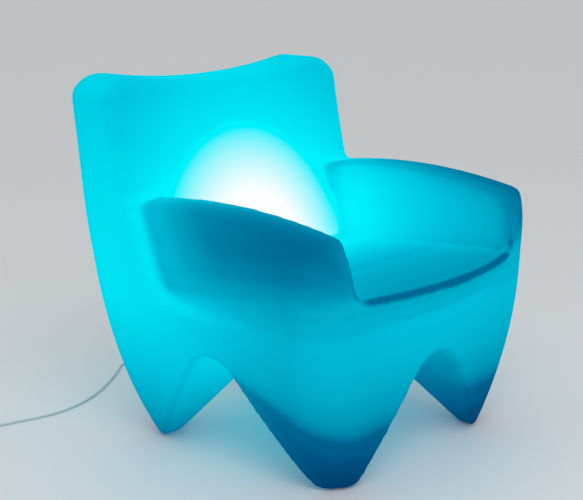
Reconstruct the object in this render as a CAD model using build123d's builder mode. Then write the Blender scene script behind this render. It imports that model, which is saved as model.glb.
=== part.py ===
"""Illuminated armchair: one hollow moulded body on four legs, lit by a lamp behind the backrest.

Millimetres. Z is up, the floor is z = 0, the chair faces -Y and X is its width.
The origin is under the middle of the chair's own box, so the cord is left out of it.
"""
from build123d import *

import os
from math import hypot, pi, radians, tan

os.makedirs("parts", exist_ok=True)

# Moulded body: the outer skin is a tapered barrel
WALL = 6.0
HALF_WIDTH = 385.0
SIDE_FLARE = 95.0
SIDE_FLARE_TOP = 450.0
FRONT_REACH = 344.0
FRONT_FLARE = 46.0
BELLY_HEIGHT = 370.0
ARM_LEAN = 39.0
ARM_LEAN_RISE = 175.0
REAR_REACH = 342.0
REAR_FLARE = 77.0
REAR_FLARE_TOP = 400.0
REAR_LEAN = 0.121
FRONT_CORNER = ((380.0, 98.0), (560.0, 30.0))
REAR_CORNER = ((220.0, 78.0), (560.0, 36.0))
BARREL_LEVELS = (70.0, 150.0, 240.0, 340.0, 430.0, 500.0, 560.0, 680.0, 800.0, 870.0)
LEG_SOLID_HEIGHT = 40.0
FAR = 520.0
ABOVE = 950.0

# Two tunnels cross under the seat and leave the four legs
ARCH_HALF = 226.0
ARCH_APEX = 308.0
ARCH_BELOW = 60.0
FRONT_ARCH_ROUND = 90.0
SIDE_ARCH_ROUND = 72.0
SIDE_ARCH_Y = -20.0

# Backrest crown, seen from the front
CROWN_PEAK_X = 290.0
CROWN_PEAK = 813.0
CROWN_DIP = 23.0
SHOULDER_OUT = 7.0
SHOULDER_DROP = 63.0

# Backrest face, arms and seat, seen from the side, as three-point arcs of (y, z)
BACK_ARC = ((124.0, 300.0), (218.5, 597.0), (261.3, 845.0))
ARM_ARC = ((-460.0, 500.0), (-45.0, 572.0), (300.0, 539.0))
SEAT_ARC = ((-460.0, 422.0), (-150.0, 412.0), (300.0, 353.0))
SEAT_LOW = (273.0, 340.0)
SEAT_HIGH = (317.0, 950.0)
SEAT_SIDE_ROUND = 22.0
SEAT_BACK_ROUND = 30.0
ARM_BACK_ROUND = 18.0

# Nose: the bow-fronted lens under the front edge of the seat
NOSE_HALF = 300.0
NOSE_ROOT = 100.0
NOSE_LOW, NOSE_LOW_TIP, NOSE_LOW_END = 342.0, 344.0, 310.0
NOSE_HIGH, NOSE_HIGH_TIP, NOSE_HIGH_END = 450.0, 418.0, 348.0
NOSE_ROUND = 10.0

# Edge rounds
ARM_RIM_ROUND = 20.0
BACK_RIM_ROUND = 20.0
GROIN_ROUND = 20.0
TIP_ROUND = 12.0
CROWN_SLOPE = 0.3

# Glides under the legs
GLIDE_RADIUS = 9.0
GLIDE_THICK = 3.0
GLIDE_STEM_RADIUS = 3.5
GLIDE_STEM_LENGTH = 14.0
GLIDE_X = 245.0
GLIDE_FRONT_Y = -263.0
GLIDE_REAR_Y = 227.0
FIT = 0.1

# Service opening in the rear, with its cover
SERVICE_HEIGHT = 385.0
SERVICE_SEAT_Y = 329.0
OPENING_RADIUS = 68.0
COVER_RADIUS = 84.0
COVER_THICK = 4.0
COVER_GAP = 1.0
SPIGOT_DEPTH = 8.0
SPIGOT_WALL = 4.0
SPIGOT_CLEARANCE = 0.6
GASKET_THICK = 2.0
GASKET_BORE = 70.0
BOSS_THICK = 16.0
BOSS_MARGIN = 6.0
SCREW_CIRCLE = 76.0
SCREW_COUNT = 6
SCREW_RADIUS = 2.5
SCREW_HEAD_RADIUS = 4.5
SCREW_HEAD_HEIGHT = 3.0
SCREW_LENGTH = 16.0
SCREW_HOLE_CLEARANCE = 0.25
HEX_SOCKET_FLATS = 3.0
HEX_SOCKET_DEPTH = 1.6
INSERT_RADIUS = 4.0
INSERT_LENGTH = 12.0

# Lamp holder and bulb, on the axis of the service opening
PILLAR_RADIUS = 4.5
PILLAR_HEIGHT = 8.0
PILLAR_OFFSET = 29.0
HOLDER_RADIUS = 24.0
HOLDER_FLANGE = 4.0
HOLDER_LUG_RADIUS = 6.0
HOLDER_BODY_RADIUS = 22.0
HOLDER_HEIGHT = 14.0
HOLDER_SCREW_RADIUS = 1.5
HOLDER_SCREW_LENGTH = 8.0
HOLDER_HEAD_RADIUS = 3.0
HOLDER_HEAD_HEIGHT = 2.0
TERMINAL_SIZE = (9.0, 6.0, 5.0)
CAP_RADIUS = 13.3
CAP_LENGTH = 27.0
CAP_CHAMFER = 3.0
SHELL_CLEARANCE = 0.3
SHELL_WALL = 0.7
SHELL_LENGTH = 27.0
BARREL_WALL = 5.0
BARREL_FLOOR = 3.0
BARREL_LENGTH = 33.0
SPRING_CONTACT_RADIUS, SPRING_CONTACT_HEIGHT = 4.5, 2.6
TIP_CONTACT_RADIUS, TIP_CONTACT_HEIGHT = 4.0, 2.0
CONTACT_GAP = 0.2
BULB_NECK_RADIUS = 14.5
BULB_RADIUS = 30.0
BULB_CONE_LENGTH = 46.0
GLOBE_WALL = 1.5
BOARD_RADIUS = 25.0
BOARD_THICK = 1.6
LED_COUNT = 10
LED_SIZE = 3.5
LED_THICK = 0.8
LED_CIRCLE = 18.0

# Cable gland, below the lamp holder
GLAND_DROP = 42.0
GLAND_THREAD_RADIUS = 7.9
GLAND_FLATS = 19.0
GLAND_FLANGE = 5.0
GLAND_OUTSIDE = 10.0
GLAND_INSIDE = 12.0
LOCKNUT_HEIGHT = 4.0
SEAL_RADIUS = 5.6
SEAL_LENGTH = 8.0
DOME_WALL = 1.8
DOME_ROOF = 4.0
SLEEVE_LENGTH = 38.0
SLEEVE_RADIUS = 5.4
SLEEVE_END_RADIUS = 3.6

# Cord
CORD_RADIUS = 2.5
CORE_RADIUS = 1.1
CORE_SPREAD = 1.3
CORE_BEND = 4.0
CORE_LEAD = 2.0
CORD_FLOOR = 2.6
ROUND_SHARE = 0.45
SWITCH_RUN_IN = 20.0

# In-line switch, on the floor beside the chair
SWITCH_X, SWITCH_Y = -577.0, 546.0
SWITCH_LENGTH, SWITCH_WIDTH, SWITCH_HEIGHT = 64.0, 27.0, 19.0
SWITCH_CORNER = 9.0
SWITCH_SPLIT = 9.0
SWITCH_WALL = 2.2
SWITCH_ROUND = 2.5
SWITCH_CORD_Z = 7.0
RUNNING_GAP = 0.3
ROCKER_LENGTH, ROCKER_WIDTH = 17.0, 10.0
ROCKER_PIVOT_Z = 15.2
ROCKER_RISE, ROCKER_DIP, ROCKER_DEPTH = 4.4, 3.7, 3.0
ROCKER_TILT = 8.0
TRUNNION_RADIUS, TRUNNION_LENGTH = 1.4, 1.8
TRUNNION_CLEARANCE = 0.15
CHEEK_THICK, CHEEK_HALF, CHEEK_DROP = 2.0, 4.0, 4.8
CONTACT_X = 7.0
CONTACT_SIZE = (3.0, 8.0, 7.3)
SWITCH_SCREW_X = 24.0
SWITCH_SCREW_RADIUS, SWITCH_SCREW_LENGTH = 1.4, 12.0
SWITCH_SCREW_HEAD, SWITCH_HEAD_HEIGHT = 2.8, 1.4
SWITCH_BOSS_RADIUS = 3.8

# Coil of the length of lead that lies out of sight
COIL_X = -668.0
COIL_OUTER_RADIUS = 40.0
COIL_STEP = 2.85
COIL_HALF_TURNS = 7
COIL_LAYER = 5.7
COIL_RUN_OUT, COIL_RUN_DOWN = 18.0, 41.0
COIL_SAMPLE = 4.0

# Plug at the end of the coil
PLUG_X = -622.0
PLUG_AXIS_Z = 7.1
PLUG_RUN_IN = 15.0
PLUG_LENGTH, PLUG_WIDTH, PLUG_HEIGHT = 34.0, 26.0, 14.0
PLUG_CORNER = 6.0
PLUG_NECK_LENGTH, PLUG_NECK_RADIUS = 20.0, 4.2
PIN_RADIUS, PIN_LENGTH, PIN_SPACING, PIN_ROOT = 2.0, 19.0, 18.6, 6.0

# Places worked out from the sizes above
COVER_INNER_Y = SERVICE_SEAT_Y + GASKET_THICK
COVER_OUTER_Y = COVER_INNER_Y + COVER_THICK
HOLDER_BACK_Y = COVER_INNER_Y - PILLAR_HEIGHT
HOLDER_FRONT_Y = HOLDER_BACK_Y - HOLDER_HEIGHT
BARREL_FLOOR_Y = HOLDER_FRONT_Y - BARREL_FLOOR
SHELL_RADIUS = CAP_RADIUS + SHELL_CLEARANCE + SHELL_WALL
BARREL_BORE = SHELL_RADIUS + FIT
TIP_BACK_Y = BARREL_FLOOR_Y - SPRING_CONTACT_HEIGHT - CONTACT_GAP
CAP_BACK_Y = TIP_BACK_Y - TIP_CONTACT_HEIGHT
BULB_BACK_Y = CAP_BACK_Y - CAP_LENGTH
BULB_FRONT_Y = BULB_BACK_Y - BULB_CONE_LENGTH
GLAND_HEIGHT = SERVICE_HEIGHT - GLAND_DROP
GLAND_FLANGE_Y = COVER_OUTER_Y + GLAND_FLANGE
GLAND_MOUTH_Y = GLAND_FLANGE_Y + GLAND_OUTSIDE
GLAND_TAIL_Y = COVER_OUTER_Y - GLAND_INSIDE
DOME_END_Y = GLAND_MOUTH_Y + DOME_ROOF
SLEEVE_END_Y = DOME_END_Y + SLEEVE_LENGTH
CORD_HOLE = CORD_RADIUS + FIT
LAMP_AXIS = Axis((0, 0, SERVICE_HEIGHT), (0, 1, 0))
GLAND_AXIS = Axis((0, 0, GLAND_HEIGHT), (0, 1, 0))


def eased(z, low, high):
    """Value that turns smoothly from one (height, value) pair to the next."""
    share = min(1.0, max(0.0, (z - low[0]) / (high[0] - low[0])))
    return low[1] + (high[1] - low[1]) * share * share * (3 - 2 * share)


def barrel_half_width(z):
    return HALF_WIDTH - SIDE_FLARE * max(0.0, 1 - z / SIDE_FLARE_TOP) ** 2


def barrel_front(z):
    if z < BELLY_HEIGHT:
        return -FRONT_REACH + FRONT_FLARE * (1 - z / BELLY_HEIGHT) ** 2
    return -FRONT_REACH + ARM_LEAN * ((z - BELLY_HEIGHT) / ARM_LEAN_RISE) ** 2


def barrel_rear(z):
    if z < REAR_FLARE_TOP:
        return REAR_REACH - REAR_FLARE * (1 - z / REAR_FLARE_TOP) ** 2
    return REAR_REACH + REAR_LEAN * (z - REAR_FLARE_TOP)


def middle(shape):
    return shape.center(CenterOf.BOUNDING_BOX)


def spans(shape):
    return shape.bounding_box().size


def highest(shape):
    return shape.bounding_box().max.Z


def outline_edges(faces):
    """Edges that only one of these faces uses."""
    found = {}
    for edge in faces.edges():
        centre = middle(edge)
        found.setdefault((round(centre.X), round(centre.Y), round(centre.Z)), []).append(edge)
    return [edges[0] for edges in found.values() if len(edges) == 1]


def above_arc(arc, inset, junction):
    """Side view of the space in front of the backrest face and above one arc."""
    back = [(y + inset, z) for y, z in BACK_ARC]
    floor = [(y, z - inset) for y, z in arc]
    with BuildSketch(Plane.YZ) as well:
        with BuildLine():
            ThreePointArc(*back)
            Polyline(back[2], (back[2][0], ABOVE), (floor[0][0], ABOVE), (floor[0][0], back[0][1]), back[0])
        make_face()
        with BuildLine():
            ThreePointArc(*floor)
            Polyline(floor[2], (floor[2][0], ABOVE), (floor[0][0], ABOVE), floor[0])
        make_face(mode=Mode.INTERSECT)
        corner = well.vertices().filter_by(lambda v: v.X > BACK_ARC[0][0] / 2).sort_by(Axis.Y)[0]
        fillet(corner, junction + inset)
    return well.sketch


def nose_block(inset):
    """The bow-fronted lens that carries the front edge of the seat."""
    levels = ((NOSE_LOW, NOSE_LOW_TIP, NOSE_LOW_END), (NOSE_HIGH, NOSE_HIGH_TIP, NOSE_HIGH_END))
    root = NOSE_ROOT - NOSE_LOW_END
    floor = [(y, z - inset) for y, z in SEAT_ARC]
    with BuildPart() as nose:
        for z, tip, end in levels:
            with BuildSketch(Plane.XY.offset(z)):
                with BuildLine():
                    bow = ThreePointArc((-NOSE_HALF, inset - end), (0, inset - tip), (NOSE_HALF, inset - end))
                    Polyline(bow @ 1, (NOSE_HALF, root), (-NOSE_HALF, root), bow @ 0)
                make_face()
        loft(ruled=True)
        with BuildSketch(Plane.YZ):
            with BuildLine():
                ThreePointArc(*floor)
                Polyline(floor[2], (floor[2][0], ABOVE), (floor[0][0], ABOVE), floor[0])
            make_face()
        extrude(amount=FAR, both=True, mode=Mode.SUBTRACT)
        lip = nose.edges().filter_by(lambda e: e.length > NOSE_HALF and middle(e).Y < -NOSE_LOW_END)
        fillet(lip.sort_by(Axis.Z)[-1], NOSE_ROUND - inset)
    return nose.part


def seat_scoop(inset):
    """Everything between the arms, above the seat and in front of the backrest."""
    half_low, low = SEAT_LOW[0] + inset, SEAT_LOW[1] - inset
    half_high, high = SEAT_HIGH[0] + inset, SEAT_HIGH[1]
    with BuildPart() as scoop:
        extrude(above_arc(SEAT_ARC, inset, SEAT_BACK_ROUND), amount=FAR, both=True)
        with BuildSketch(Plane.XZ):
            with BuildLine():
                Polyline((-half_low, low), (half_low, low), (half_high, high), (-half_high, high), close=True)
            make_face()
        extrude(amount=FAR, both=True, mode=Mode.INTERSECT)
        sides = scoop.edges().filter_by(lambda e: spans(e).Y > FRONT_REACH)
        sides = sides.filter_by(lambda e: middle(e).Z < SEAT_ARC[0][1] + WALL)
        fillet(sides.filter_by(lambda e: abs(middle(e).X) > half_low - WALL), SEAT_SIDE_ROUND + inset)
    return scoop.part


def arch_profile(plane, centre, round_radius, inset):
    """Triangle with a rounded top, the section of one tunnel."""
    slant = hypot(ARCH_HALF, ARCH_APEX)
    apex = ARCH_APEX + inset * slant / ARCH_HALF
    run = ARCH_HALF * (apex + ARCH_BELOW) / ARCH_APEX
    with BuildSketch(plane) as arch:
        with BuildLine():
            Polyline((centre - run, -ARCH_BELOW), (centre, apex), (centre + run, -ARCH_BELOW), close=True)
        make_face()
        fillet(arch.vertices().sort_by(Axis.Y)[-1], round_radius + inset)
    return arch.sketch


def chair_form(inset):
    """The outer skin at inset 0, or the hollow inside it at the wall's thickness."""
    foot = GLIDE_THICK if inset == 0 else LEG_SOLID_HEIGHT
    with BuildPart() as body:
        for z in (foot, *BARREL_LEVELS):
            half, front, rear = barrel_half_width(z) - inset, barrel_front(z) + inset, barrel_rear(z) - inset
            with BuildSketch(Plane.XY.offset(z)) as ring:
                with BuildLine():
                    Polyline((-half, front), (half, front), (half, rear), (-half, rear), close=True)
                make_face()
                fillet(ring.vertices().sort_by(Axis.Y)[:2], eased(z, *FRONT_CORNER) - inset)
                fillet(ring.vertices().sort_by(Axis.Y)[-2:], eased(z, *REAR_CORNER) - inset)
        loft()
        with BuildSketch(Plane.XZ):
            side, peak = HALF_WIDTH + SHOULDER_OUT - inset, CROWN_PEAK - inset
            shoulder = peak - SHOULDER_DROP
            with BuildLine():
                dip = ThreePointArc((-CROWN_PEAK_X, peak), (0, peak - CROWN_DIP), (CROWN_PEAK_X, peak))
                TangentArc(dip @ 1, (side, shoulder), tangent=dip % 1)
                TangentArc(dip @ 0, (-side, shoulder), tangent=-(dip % 0))
                Polyline((side, shoulder), (side, -GLIDE_THICK), (-side, -GLIDE_THICK), (-side, shoulder))
            make_face()
        extrude(amount=FAR, both=True, mode=Mode.INTERSECT)
        extrude(above_arc(ARM_ARC, inset, ARM_BACK_ROUND), amount=FAR, both=True, mode=Mode.SUBTRACT)

        arm_rim = body.edges().filter_by(lambda e: ARM_ARC[0][1] < middle(e).Z < ARM_ARC[1][1])
        fillet(arm_rim.filter_by(lambda e: middle(e).Y < BACK_ARC[0][0]), ARM_RIM_ROUND - inset)
        crown_low = CROWN_PEAK - SHOULDER_DROP - BACK_RIM_ROUND
        crown = body.faces().filter_by(lambda f: f.normal_at().Z > CROWN_SLOPE and middle(f).Z > crown_low)
        sides = body.edges().filter_by(lambda e: BACK_ARC[1][0] < middle(e).Y < BACK_ARC[2][0])
        sides = sides.filter_by(lambda e: BACK_ARC[1][1] < middle(e).Z < crown_low)
        sides = sides.filter_by(lambda e: abs(middle(e).X) > HALF_WIDTH - BACK_RIM_ROUND)
        fillet(outline_edges(crown) + sides, BACK_RIM_ROUND - inset)

        add(nose_block(inset))
        add(seat_scoop(inset), mode=Mode.SUBTRACT)
        front_arch = arch_profile(Plane.XZ, 0, FRONT_ARCH_ROUND, inset)
        extrude(front_arch, amount=FAR, both=True, mode=Mode.SUBTRACT)
        side_arch = arch_profile(Plane.YZ, SIDE_ARCH_Y, SIDE_ARCH_ROUND, inset)
        extrude(side_arch, amount=FAR, both=True, mode=Mode.SUBTRACT)

        lines = body.edges().filter_by(GeomType.LINE)
        groins = lines.filter_by(lambda e: min(spans(e)) > FRONT_ARCH_ROUND)
        fillet(groins, GROIN_ROUND - inset)
        if inset == 0:
            fillet(body.edges().filter_by(lambda e: highest(e) < foot + FIT), TIP_ROUND)
    return body.part.solids().sort_by(SortBy.VOLUME)[-1]


def rear_plane(y, x=0.0, z=SERVICE_HEIGHT):
    """Plane that faces the rear, with its origin at one point."""
    return Plane(origin=(x, y, z), x_dir=(1, 0, 0), z_dir=(0, 1, 0))


def turned(points, height):
    """Closed side profile of (y, radius) points above an axis along Y."""
    with BuildSketch(Plane.YZ) as profile:
        with BuildLine():
            Polyline(*[(y, height + radius) for y, radius in points], close=True)
        make_face()
    return profile.sketch


def finish(piece, name):
    piece.part.label = name
    export_step(piece.part, f"parts/{name}.step")


# Body shell: the form less its hollow, with the service opening and the glide holes
outer_form = chair_form(0)
hollow = chair_form(WALL)
boss_radius = COVER_RADIUS + COVER_GAP + BOSS_MARGIN
boss_depth = FAR - SERVICE_SEAT_Y
with BuildPart() as hollow_core:
    add(hollow)
    with BuildSketch(rear_plane(SERVICE_SEAT_Y - BOSS_THICK)):
        Circle(boss_radius)
    extrude(amount=boss_depth, mode=Mode.SUBTRACT)
with BuildPart() as body_shell:
    add(outer_form)
    add(hollow_core.part, mode=Mode.SUBTRACT)
    with BuildSketch(rear_plane(SERVICE_SEAT_Y)):
        Circle(COVER_RADIUS + COVER_GAP)
    extrude(amount=boss_depth, mode=Mode.SUBTRACT)
    with BuildSketch(rear_plane(SERVICE_SEAT_Y)):
        Circle(OPENING_RADIUS)
    extrude(amount=-2 * BOSS_THICK, mode=Mode.SUBTRACT)
    with BuildSketch(rear_plane(SERVICE_SEAT_Y)):
        with PolarLocations(SCREW_CIRCLE, SCREW_COUNT):
            Circle(INSERT_RADIUS + FIT)
    extrude(amount=-INSERT_LENGTH - FIT, mode=Mode.SUBTRACT)
    with BuildSketch(Plane.XY.offset(GLIDE_THICK)):
        with Locations((-GLIDE_X, GLIDE_FRONT_Y), (GLIDE_X, GLIDE_FRONT_Y)):
            Circle(GLIDE_STEM_RADIUS + FIT)
        with Locations((-GLIDE_X, GLIDE_REAR_Y), (GLIDE_X, GLIDE_REAR_Y)):
            Circle(GLIDE_STEM_RADIUS + FIT)
    extrude(amount=GLIDE_STEM_LENGTH + FIT, mode=Mode.SUBTRACT)
finish(body_shell, "body_shell")

# Glides: a disc under each leg with a ribbed stem pressed into it
for side_name, x in (("left", -GLIDE_X), ("right", GLIDE_X)):
    for end_name, y in (("front", GLIDE_FRONT_Y), ("rear", GLIDE_REAR_Y)):
        with BuildPart() as glide:
            with BuildSketch():
                with Locations((x, y)):
                    Circle(GLIDE_RADIUS)
            extrude(amount=GLIDE_THICK)
            chamfer(glide.edges().group_by(Axis.Z)[0], GLIDE_THICK / 4)
            with BuildSketch(Plane.XY.offset(GLIDE_THICK)):
                with Locations((x, y)):
                    Circle(GLIDE_STEM_RADIUS)
            extrude(amount=GLIDE_STEM_LENGTH)
            chamfer(glide.edges().group_by(Axis.Z)[-1], GLIDE_STEM_RADIUS / 4)
        finish(glide, f"glide_{end_name}_{side_name}")

# Service cover: a disc that closes the opening, with a spigot and two pillars for the lamp holder
with BuildPart() as service_cover:
    spigot = OPENING_RADIUS - SPIGOT_CLEARANCE
    with BuildSketch(rear_plane(COVER_INNER_Y)):
        Circle(COVER_RADIUS)
    extrude(amount=COVER_THICK)
    chamfer(service_cover.edges().sort_by(Axis.Y)[-1], COVER_THICK / 4)
    with BuildSketch(rear_plane(COVER_INNER_Y)):
        Circle(spigot)
        Circle(spigot - SPIGOT_WALL, mode=Mode.SUBTRACT)
    extrude(amount=-SPIGOT_DEPTH)
    with BuildSketch(rear_plane(COVER_INNER_Y)):
        with Locations((-PILLAR_OFFSET, 0), (PILLAR_OFFSET, 0)):
            Circle(PILLAR_RADIUS)
    extrude(amount=-PILLAR_HEIGHT)
    with BuildSketch(rear_plane(HOLDER_BACK_Y)):
        with Locations((-PILLAR_OFFSET, 0), (PILLAR_OFFSET, 0)):
            Circle(HOLDER_SCREW_RADIUS + FIT)
    extrude(amount=HOLDER_SCREW_LENGTH - HOLDER_FLANGE + FIT, mode=Mode.SUBTRACT)
    with BuildSketch(rear_plane(COVER_INNER_Y)):
        with PolarLocations(SCREW_CIRCLE, SCREW_COUNT):
            Circle(SCREW_RADIUS + SCREW_HOLE_CLEARANCE)
        with Locations((0, GLAND_DROP)):
            Circle(GLAND_THREAD_RADIUS + FIT)
    extrude(amount=COVER_THICK, mode=Mode.SUBTRACT)
finish(service_cover, "service_cover")

# Gasket between the cover and the body
with BuildPart() as cover_gasket:
    with BuildSketch(rear_plane(SERVICE_SEAT_Y)):
        Circle(COVER_RADIUS)
        Circle(GASKET_BORE, mode=Mode.SUBTRACT)
        with PolarLocations(SCREW_CIRCLE, SCREW_COUNT):
            Circle(SCREW_RADIUS + SCREW_HOLE_CLEARANCE, mode=Mode.SUBTRACT)
    extrude(amount=GASKET_THICK)
finish(cover_gasket, "cover_gasket")

# Cover screws and the inserts that they turn into
with BuildPart() as cover_screws:
    with BuildSketch(rear_plane(COVER_OUTER_Y)):
        with PolarLocations(SCREW_CIRCLE, SCREW_COUNT):
            Circle(SCREW_RADIUS)
    extrude(amount=-SCREW_LENGTH)
    with BuildSketch(rear_plane(COVER_OUTER_Y)):
        with PolarLocations(SCREW_CIRCLE, SCREW_COUNT):
            Circle(SCREW_HEAD_RADIUS)
    extrude(amount=SCREW_HEAD_HEIGHT)
    with BuildSketch(rear_plane(COVER_OUTER_Y + SCREW_HEAD_HEIGHT)):
        with PolarLocations(SCREW_CIRCLE, SCREW_COUNT):
            RegularPolygon(HEX_SOCKET_FLATS / 2, 6, major_radius=False)
    extrude(amount=-HEX_SOCKET_DEPTH, mode=Mode.SUBTRACT)
finish(cover_screws, "cover_screws")

with BuildPart() as threaded_inserts:
    with BuildSketch(rear_plane(SERVICE_SEAT_Y)):
        with PolarLocations(SCREW_CIRCLE, SCREW_COUNT):
            Circle(INSERT_RADIUS)
            Circle(SCREW_RADIUS + FIT, mode=Mode.SUBTRACT)
    extrude(amount=-INSERT_LENGTH)
finish(threaded_inserts, "threaded_inserts")

# Lamp holder: a base with two screwed lugs, a barrel and the contacts inside it
with BuildPart() as holder_base:
    with BuildSketch(rear_plane(HOLDER_BACK_Y)):
        Circle(HOLDER_RADIUS)
        with Locations((-PILLAR_OFFSET, 0), (PILLAR_OFFSET, 0)):
            Circle(HOLDER_LUG_RADIUS)
    extrude(amount=-HOLDER_FLANGE)
    with BuildSketch(rear_plane(HOLDER_BACK_Y - HOLDER_FLANGE)):
        Circle(HOLDER_BODY_RADIUS)
    extrude(amount=HOLDER_FLANGE - HOLDER_HEIGHT)
    with BuildSketch(rear_plane(HOLDER_BACK_Y)):
        with Locations((-PILLAR_OFFSET, 0), (PILLAR_OFFSET, 0)):
            Circle(HOLDER_SCREW_RADIUS + FIT)
    extrude(amount=-HOLDER_FLANGE, mode=Mode.SUBTRACT)
    terminal_y = COVER_INNER_Y - PILLAR_HEIGHT - HOLDER_HEIGHT / 2
    terminal_top = SERVICE_HEIGHT - HOLDER_BODY_RADIUS + TERMINAL_SIZE[2]
    with BuildSketch(Plane.XY.offset(terminal_top)):
        with Locations((0, terminal_y)):
            Rectangle(TERMINAL_SIZE[0], TERMINAL_SIZE[1])
    extrude(amount=-2 * TERMINAL_SIZE[2], mode=Mode.SUBTRACT)
finish(holder_base, "holder_base")

with BuildPart() as holder_barrel:
    with BuildSketch(rear_plane(HOLDER_FRONT_Y)):
        Circle(BARREL_BORE + BARREL_WALL)
    extrude(amount=-BARREL_LENGTH)
    chamfer(holder_barrel.edges().sort_by(Axis.Y)[0], BARREL_WALL / 4)
    with BuildSketch(rear_plane(BARREL_FLOOR_Y)):
        Circle(BARREL_BORE)
    extrude(amount=-BARREL_LENGTH, mode=Mode.SUBTRACT)
finish(holder_barrel, "holder_barrel")

with BuildPart() as screw_shell:
    with BuildSketch(rear_plane(BARREL_FLOOR_Y)):
        Circle(SHELL_RADIUS)
        Circle(SHELL_RADIUS - SHELL_WALL, mode=Mode.SUBTRACT)
    extrude(amount=-SHELL_LENGTH)
finish(screw_shell, "screw_shell")

with BuildPart() as centre_contact:
    with BuildSketch(rear_plane(BARREL_FLOOR_Y)):
        Circle(SPRING_CONTACT_RADIUS)
    extrude(amount=-SPRING_CONTACT_HEIGHT)
finish(centre_contact, "centre_contact")

with BuildPart() as holder_screws:
    lug_y = HOLDER_BACK_Y - HOLDER_FLANGE
    with BuildSketch(rear_plane(lug_y)):
        with Locations((-PILLAR_OFFSET, 0), (PILLAR_OFFSET, 0)):
            Circle(HOLDER_SCREW_RADIUS)
    extrude(amount=HOLDER_SCREW_LENGTH)
    with BuildSketch(rear_plane(lug_y)):
        with Locations((-PILLAR_OFFSET, 0), (PILLAR_OFFSET, 0)):
            Circle(HOLDER_HEAD_RADIUS)
    extrude(amount=-HOLDER_HEAD_HEIGHT)
finish(holder_screws, "holder_screws")

# Bulb: cap, tip contact, cone, board with its diodes, and the diffusing globe
with BuildPart() as bulb_contact:
    with BuildSketch(rear_plane(TIP_BACK_Y)):
        Circle(TIP_CONTACT_RADIUS)
    extrude(amount=-TIP_CONTACT_HEIGHT)
finish(bulb_contact, "bulb_contact")

with BuildPart() as bulb_cap:
    with BuildSketch(rear_plane(CAP_BACK_Y)):
        Circle(CAP_RADIUS)
    extrude(amount=-CAP_LENGTH)
    chamfer(bulb_cap.edges().sort_by(Axis.Y)[-1], CAP_CHAMFER)
finish(bulb_cap, "bulb_cap")

with BuildPart() as bulb_body:
    with BuildSketch(rear_plane(BULB_BACK_Y)):
        Circle(BULB_NECK_RADIUS)
    with BuildSketch(rear_plane(BULB_FRONT_Y)):
        Circle(BULB_RADIUS)
    loft(ruled=True)
finish(bulb_body, "bulb_body")

with BuildPart() as led_board:
    with BuildSketch(rear_plane(BULB_FRONT_Y)):
        Circle(BOARD_RADIUS)
    extrude(amount=-BOARD_THICK)
    with BuildSketch(rear_plane(BULB_FRONT_Y - BOARD_THICK)):
        with PolarLocations(LED_CIRCLE, LED_COUNT):
            Rectangle(LED_SIZE, LED_SIZE)
    extrude(amount=-LED_THICK)
finish(led_board, "led_board")

with BuildPart() as bulb_globe:
    inner_globe = BULB_RADIUS - GLOBE_WALL
    with BuildSketch(Plane.YZ):
        with BuildLine():
            CenterArc((BULB_FRONT_Y, SERVICE_HEIGHT), BULB_RADIUS, 90, 90)
            CenterArc((BULB_FRONT_Y, SERVICE_HEIGHT), inner_globe, 90, 90)
            Line((BULB_FRONT_Y, SERVICE_HEIGHT + inner_globe), (BULB_FRONT_Y, SERVICE_HEIGHT + BULB_RADIUS))
            Line((BULB_FRONT_Y - BULB_RADIUS, SERVICE_HEIGHT), (BULB_FRONT_Y - inner_globe, SERVICE_HEIGHT))
        make_face()
    revolve(axis=LAMP_AXIS)
finish(bulb_globe, "bulb_globe")

# Cable gland through the cover: body, locknut, seal and dome nut, then the bend sleeve
with BuildPart() as gland_body:
    with BuildSketch(rear_plane(COVER_OUTER_Y, z=GLAND_HEIGHT)):
        RegularPolygon(GLAND_FLATS / 2, 6, major_radius=False)
    extrude(amount=GLAND_FLANGE)
    with BuildSketch(rear_plane(GLAND_TAIL_Y, z=GLAND_HEIGHT)):
        Circle(GLAND_THREAD_RADIUS)
    extrude(amount=GLAND_MOUTH_Y - GLAND_TAIL_Y)
    with BuildSketch(rear_plane(GLAND_TAIL_Y, z=GLAND_HEIGHT)):
        Circle(CORD_HOLE)
    extrude(amount=GLAND_MOUTH_Y - GLAND_TAIL_Y, mode=Mode.SUBTRACT)
    with BuildSketch(rear_plane(GLAND_MOUTH_Y, z=GLAND_HEIGHT)):
        Circle(SEAL_RADIUS + FIT)
    extrude(amount=-SEAL_LENGTH, mode=Mode.SUBTRACT)
finish(gland_body, "gland_body")

with BuildPart() as gland_locknut:
    with BuildSketch(rear_plane(COVER_INNER_Y, z=GLAND_HEIGHT)):
        RegularPolygon(GLAND_FLATS / 2, 6, major_radius=False)
        Circle(GLAND_THREAD_RADIUS + FIT, mode=Mode.SUBTRACT)
    extrude(amount=-LOCKNUT_HEIGHT)
finish(gland_locknut, "gland_locknut")

with BuildPart() as gland_seal:
    with BuildSketch(rear_plane(GLAND_MOUTH_Y, z=GLAND_HEIGHT)):
        Circle(SEAL_RADIUS)
        Circle(CORD_HOLE, mode=Mode.SUBTRACT)
    extrude(amount=-SEAL_LENGTH)
finish(gland_seal, "gland_seal")

dome_inner = GLAND_THREAD_RADIUS + FIT
dome_outer = dome_inner + DOME_WALL
with BuildPart() as gland_dome_nut:
    revolve(turned(((GLAND_FLANGE_Y, dome_inner), (GLAND_FLANGE_Y, dome_outer), (GLAND_MOUTH_Y, dome_outer),
                    (DOME_END_Y, SLEEVE_RADIUS + DOME_WALL / 2), (DOME_END_Y, CORD_HOLE),
                    (GLAND_MOUTH_Y, CORD_HOLE), (GLAND_MOUTH_Y, dome_inner)), GLAND_HEIGHT), axis=GLAND_AXIS)
finish(gland_dome_nut, "gland_dome_nut")

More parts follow.
